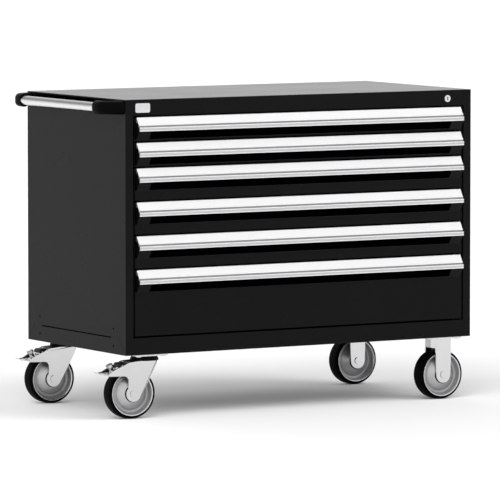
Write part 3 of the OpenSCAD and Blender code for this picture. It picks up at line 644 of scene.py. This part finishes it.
# The fixed bolts are told apart by their height: the rigid wheels' axles are lower than the
# bolts of the caster plates and of the handle, and have rounder heads.
hub_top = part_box("hub_right_front")[1][2]
for name, width, segments, low_ones in (("rigid_axles", 0.0014, 4, True),
                                        ("mounting_bolts", 0.0004, 2, False)):
    bolts = merged_copy("fixed_bolts")
    bmesh.ops.delete(bolts, geom=[vertex for vertex in bolts.verts
                                  if (vertex.co.z < hub_top) != low_ones], context="VERTS")
    break_edges(bolts, width, segments)
    place(name + "_finished", bolts, bright_zinc, "cabinet", ("fixed_bolts",))

# Dust caps: a black ring round each swivelling crown, lipped over its edge close to the race,
# and a thin black pad on the crown's slope.
axle_height = joints["wheel_left_front_spin"]["pos_m"][2] * 1000
race_low, race_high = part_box("swivel_races")
cap_profile = [(41.85, 97.4), (42.5, 97.4), (42.5, 104.0), (40.3, 104.0), (40.3, 102.45),
               (41.85, 102.45)]
pad_outline = [(-13.4, 94.6), (28.4, 98.4), (28.4, 99.4), (-13.4, 95.6)]
for end in ("front", "rear"):
    ring = turned([(radius, along) for radius, along in cap_profile])
    bmesh.ops.rotate(ring, verts=ring.verts, matrix=Matrix.Rotation(math.pi / 2, 3, "X"))
    bmesh.ops.translate(ring, verts=ring.verts, vec=(50, 0, 0))
    bmesh.ops.transform(ring, matrix=at_axle(f"wheel_left_{end}_spin"), verts=ring.verts)
    place(f"dust_cap_{end}", ring, black_oxide, f"swivel_{end}")
    pad = cut_plate(pad_outline, -27.6, 27.6)
    bmesh.ops.transform(pad, matrix=at_axle(f"wheel_left_{end}_spin"), verts=pad.verts)
    place(f"crown_pad_{end}", pad, black_oxide, f"swivel_{end}")

# ------------------------------------------------------------------ brakes
# A chromed lever between each swivel fork's arms: black tread with chromed ribs on the pedal, a
# chromed release stud with a chromed button in a black ring, and a black cover over the pivot. Two
# short rollers sit beside the stud.

bright_nickel = Finish("bright_nickel", metallic=1.0)
buffing = bright_nickel.noise(0.01, 2.0)
bright_nickel.drive("Base Color", bright_nickel.between(buffing, (0.62, 0.62, 0.63),
                                                        (0.68, 0.68, 0.685)))
bright_nickel.drive("Roughness", 0.05 + buffing * 0.06)

tread_rubber = Finish("tread_rubber", specular_ior_level=0.15)
tread_rubber.drive("Base Color", tread_rubber.between(tread_rubber.noise(0.01),
                                                      (0.003, 0.003, 0.003),
                                                      (0.006, 0.006, 0.006)))
tread_rubber.drive("Roughness", 0.4 + tread_rubber.noise(0.003) * 0.1)

flange_outline = [(-50, 72), (-64, 65), (-80, 61.2), (-90, 61.6), (-90, 63.4), (-80, 64.4),
                  (-64, 71.2), (-50, 78.5)]
block_outline = [(-50, 71), (-64, 64.6), (-69, 63.6), (-66, 67.4), (-52, 75)]
cover_outline = [(-13, 78), (-13, 90), (-17, 93), (-36, 92), (-42, 88), (-42, 80), (-36, 76),
                 (-20, 76)]
for end in ("front", "rear"):
    where = at_axle(f"wheel_left_{end}_spin")
    finished_copy(f"brake_pedal_{end}", 0.0006, bright_nickel, 2)
    parts = [(f"pivot_cover_{end}", cut_plate(cover_outline, -21, 21), 1.6, tread_rubber),
             (f"pedal_flange_{end}", cut_plate(flange_outline, 21, 25), 0.6, tread_rubber),
             (f"pedal_block_{end}", cut_plate(block_outline, -26, -20), 0.6, tread_rubber)]
    for side, near, far in (("near", -25.5, -13.5), ("far", 13.5, 25.5)):
        roller = bmesh.new()
        bmesh.ops.create_cone(roller, cap_ends=True, segments=32, radius1=4.2, radius2=4.2,
                              depth=far - near)
        bmesh.ops.rotate(roller, verts=roller.verts, matrix=Matrix.Rotation(math.pi / 2, 3, "X"))
        bmesh.ops.translate(roller, verts=roller.verts, vec=(-51, (near + far) / 2, 77.5))
        parts.append((f"brake_roller_{side}_{end}", roller, 0.8, polished_chrome))
    for disc, radius, height, finish in (("ring", 10.2, 22.3, tread_rubber),
                                         ("button", 8.4, 23.0, bright_nickel)):
        button = bmesh.new()
        bmesh.ops.create_cone(button, cap_ends=True, segments=48, radius1=radius,
                              radius2=radius - 0.6, depth=1.2)
        bmesh.ops.translate(button, verts=button.verts, vec=(0, 0, height))
        bmesh.ops.rotate(button, verts=button.verts,
                         matrix=Matrix.Rotation(math.radians(-25), 3, "Y"))
        bmesh.ops.translate(button, verts=button.verts, vec=(-57, 0, 67.2))
        parts.append((f"stud_{disc}_{end}", button, 0.3, finish))
    for number, height in enumerate((63.8, 62.7, 61.9, 62.1)):
        rib = bmesh.new()
        bmesh.ops.create_cube(rib, size=1.0)
        bmesh.ops.scale(rib, verts=rib.verts, vec=(1.6, 30, 1.6))
        bmesh.ops.translate(rib, verts=rib.verts, vec=(-74 - 4.0 * number, 3.0, height))
        parts.append((f"tread_rib_{number + 1}_{end}", rib, 0.3, polished_chrome))
    for name, shape, width, finish in parts:
        break_edges(shape, width, 2)
        bmesh.ops.transform(shape, matrix=where, verts=shape.verts)
        place(name, shape, finish, f"pedal_{end}")
